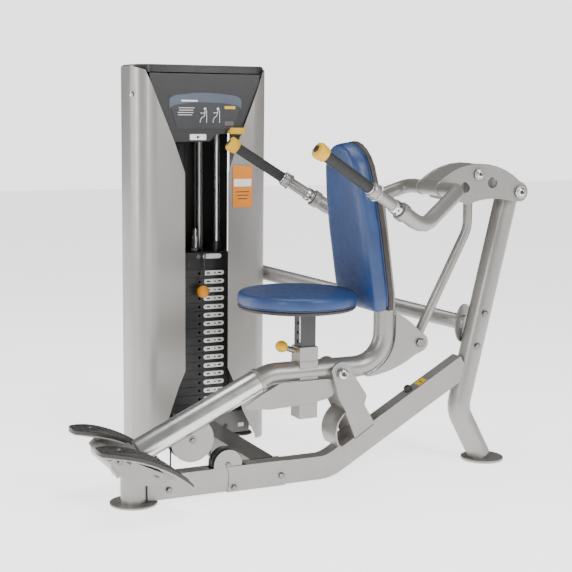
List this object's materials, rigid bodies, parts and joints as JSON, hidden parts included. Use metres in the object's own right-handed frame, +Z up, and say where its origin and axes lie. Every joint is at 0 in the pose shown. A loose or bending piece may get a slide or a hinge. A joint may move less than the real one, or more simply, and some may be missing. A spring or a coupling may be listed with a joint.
{
  "type": "seated dip machine",
  "caption": "Selectorised seated dip machine: push-down handles on a rear rocker, tilting seat and foot carriage, covered weight tower with a cable drive.",
  "frame": {"origin": "on the floor, in the middle of the bounding box in plan", "axes": "+Z up; +Y towards the back of the machine, from the foot plates to the rocker post; +X to the seated user's right when facing the foot plates, away from the weight tower"},
  "size_m": [1.1344, 1.5248, 1.335],
  "materials": {
    "silver_paint": "warm silver powder coat, satin",
    "chrome_plate": "bright chrome plating",
    "blue_vinyl": "fine-grained blue upholstery vinyl",
    "brown_black_trim": "moulded brown-black cushion back",
    "yellow_plastic": "glossy yellow moulded plastic",
    "black_rubber": "matt black rubber",
    "charcoal_plastic": "charcoal plastic, fine grain",
    "black_steel": "black powder coat, satin",
    "grey_rubber": "dark grey ribbed rubber",
    "black_nylon": "black nylon pulley, satin",
    "stack_iron": "black painted weight plates",
    "cable_jacket": "black nylon cable jacket"
  },
  "bodies": {
    "frame": {"base_rail": "silver_paint", "rail_sleeve": "silver_paint", "front_leg": "silver_paint", "rear_post": "silver_paint", "tie_tube": "silver_paint", "pivot_bracket": "silver_paint", "pivot_bolt": "chrome_plate", "bumper": "black_rubber", "cross_beam": "black_steel", "tower_base": "black_steel", "tower_foot": "black_steel", "shroud_front": "silver_paint", "shroud_rear": "silver_paint", "tower_back": "charcoal_plastic", "top_cap": "charcoal_plastic", "placard_panel": "charcoal_plastic", "top_crossmember": "black_steel", "guide_rod_front": "chrome_plate", "guide_rod_rear": "chrome_plate", "rear_upright": "chrome_plate", "weights_resting": "stack_iron", "cable_low": "cable_jacket"},
    "carriage": {"foot_tube": "chrome_plate", "carriage_tube": "silver_paint", "foot_crossbar": "silver_paint", "foot_plate_left": "grey_rubber", "foot_plate_right": "grey_rubber", "foot_side_left": "silver_paint", "foot_side_right": "silver_paint", "seat_receiver": "silver_paint", "link_lug_left": "silver_paint", "link_lug_right": "silver_paint", "link_low_bolt": "chrome_plate", "backrest_board": "brown_black_trim", "backrest_pad": "blue_vinyl", "pulley_cover": "silver_paint", "cable_front": "cable_jacket"},
    "rocker": {"rocker_frame": "silver_paint", "arm_tube": "silver_paint"},
    "link": {"link_tube": "silver_paint"},
    "seat": {"seat_post": "black_steel", "seat_base": "brown_black_trim", "seat_pad": "blue_vinyl"},
    "pop_pin": {"pop_pin": "yellow_plastic"},
    "stack": {"top_plate": "stack_iron", "selector_stem": "chrome_plate", "weights_picked": "stack_iron", "cable_lift": "cable_jacket", "pin_lanyard": "cable_jacket"},
    "selector": {"selector_pin": "yellow_plastic"},
    "handle_left": {"handle_sleeve_left": "silver_paint", "handle_grip_left": "black_rubber", "handle_cap_left": "yellow_plastic"},
    "handle_right": {"handle_sleeve_right": "silver_paint", "handle_grip_right": "black_rubber", "handle_cap_right": "yellow_plastic"},
    "addon_lever": {"addon_lever": "yellow_plastic"},
    "carriage_pulley": {"carriage_pulley": "black_nylon"},
    "rail_pulley": {"rail_pulley": "black_nylon"},
    "top_pulley": {"top_pulley": "black_nylon"}
  },
  "joints": [
    {"name": "rocker_pivot", "type": "hinge", "parent": "frame", "child": "rocker", "pos_m": [0.221, 0.7297, 0.922], "axis": [1, 0, 0], "range_deg": [0, 20]},
    {"name": "carriage_pivot", "type": "hinge", "parent": "frame", "child": "carriage", "pos_m": [0.221, 0.0707, 0.357], "axis": [1, 0, 0], "range_deg": [-12.7, 0], "deforming": ["cable_front"]},
    {"name": "link_pivot", "type": "hinge", "parent": "rocker", "child": "link", "pos_m": [0.221, 0.5637, 0.984], "axis": [1, 0, 0], "range_deg": [-17.7, 0]},
    {"name": "stack_lift", "type": "slide", "parent": "frame", "child": "stack", "axis": [0, 0, 1], "range_m": [0, 0.224], "deforming": ["cable_lift"]},
    {"name": "seat_height", "type": "slide", "parent": "carriage", "child": "seat", "axis": [0, 0, 1], "range_m": [-0.09, 0]},
    {"name": "pop_pin_pull", "type": "slide", "parent": "carriage", "child": "pop_pin", "axis": [0, -0.9397, 0.342], "range_m": [0, 0.012], "stiffness_N_per_m": 900, "springref_m": -0.004},
    {"name": "selector_pin_pull", "type": "slide", "parent": "stack", "child": "selector", "axis": [1, 0, 0], "range_m": [0, 0.12]},
    {"name": "handle_turn_left", "type": "hinge", "parent": "rocker", "child": "handle_left", "pos_m": [0.511, 0.1347, 0.892], "axis": [0.0895, -0.8444, 0.5281], "range_deg": [-90, 90]},
    {"name": "handle_turn_right", "type": "hinge", "parent": "rocker", "child": "handle_right", "pos_m": [-0.069, 0.1347, 0.892], "axis": [-0.0895, -0.8444, 0.5281], "range_deg": [-90, 90]},
    {"name": "addon_lever_turn", "type": "hinge", "parent": "frame", "child": "addon_lever", "pos_m": [-0.299, -0.0703, 1.11], "axis": [1, 0, 0], "range_deg": [-45, 0]},
    {"name": "carriage_pulley_spin", "type": "hinge", "parent": "carriage", "child": "carriage_pulley", "pos_m": [0.221, -0.4243, 0.183], "axis": [1, 0, 0], "range_deg": [0, 113]},
    {"name": "rail_pulley_spin", "type": "hinge", "parent": "frame", "child": "rail_pulley", "pos_m": [0.221, -0.3073, 0.093], "axis": [1, 0, 0], "range_deg": [-273, 0]},
    {"name": "top_pulley_spin", "type": "hinge", "parent": "frame", "child": "top_pulley", "pos_m": [-0.474, -0.1573, 1.21], "axis": [0, 1, 0], "range_deg": [-252, 0]}
  ],
  "couplings": [
    {"joint": "carriage_pivot", "follows": "rocker_pivot", "ratio": -0.6323},
    {"joint": "link_pivot", "follows": "rocker_pivot", "ratio": -0.8793},
    {"joint": "stack_lift", "follows": "rocker_pivot", "m_per_rad": 0.639},
    {"joint": "carriage_pulley_spin", "follows": "rocker_pivot", "ratio": 5.6},
    {"joint": "rail_pulley_spin", "follows": "rocker_pivot", "ratio": -13.6},
    {"joint": "top_pulley_spin", "follows": "rocker_pivot", "ratio": -12.55}
  ]
}
